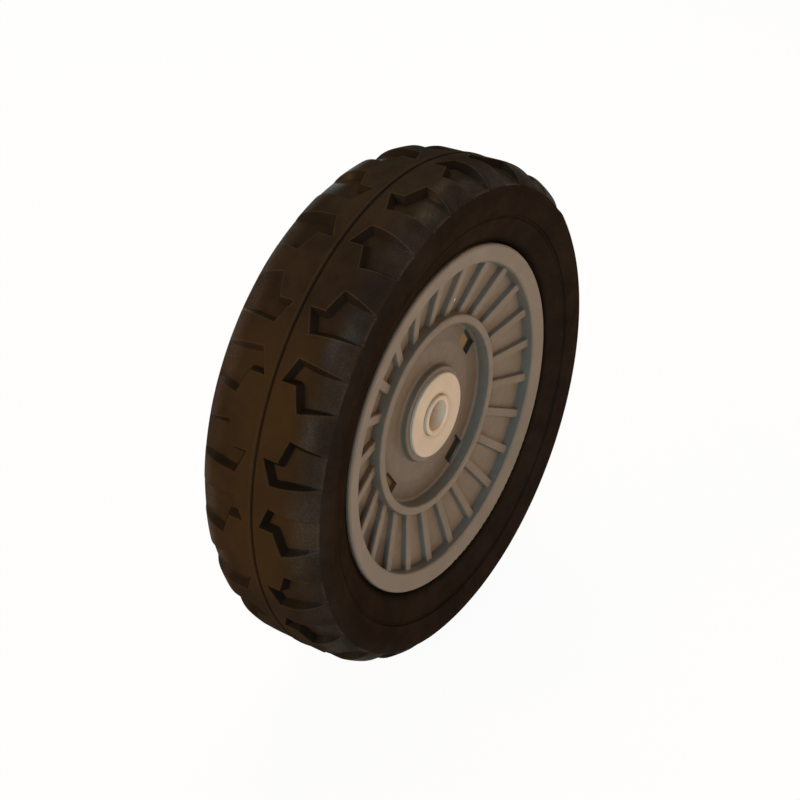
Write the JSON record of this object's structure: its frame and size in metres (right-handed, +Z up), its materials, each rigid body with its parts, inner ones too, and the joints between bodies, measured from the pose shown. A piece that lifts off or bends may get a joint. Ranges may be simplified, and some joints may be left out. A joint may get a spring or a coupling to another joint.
{
  "type": "wheel",
  "caption": "Garden machine wheel: a black moulded tyre with recessed shoulder tread on a ribbed grey plastic hub, turning on flanged white plastic ball bearings with a bore for the axle.",
  "frame": {"origin": "on the axle line, halfway across the tyre", "axes": "+Y along the axle towards the machine, so the outer face looks towards -Y; +Z up; X to the right when the outer face is seen"},
  "size_m": [0.2006, 0.0534, 0.2006],
  "materials": {
    "tyre": "moulded, satin with a fine grain on the shoulders",
    "hub_plastic": "moulded grey plastic, satin",
    "bearing_plastic": "smooth white plastic",
    "steel": "plain steel"
  },
  "bodies": {
    "bearing_core": {"front_inner_race": "bearing_plastic", "rear_inner_race": "bearing_plastic", "spacer_sleeve": "steel", "front_balls": "steel", "rear_balls": "steel"},
    "wheel": {"tyre": "tyre", "hub": "hub_plastic", "front_outer_race": "bearing_plastic", "rear_outer_race": "bearing_plastic"}
  },
  "joints": [
    {"name": "wheel_spin", "type": "hinge", "parent": "bearing_core", "child": "wheel", "pos_m": [0, 0, 0], "axis": [0, 1, 0], "continuous": true}
  ]
}
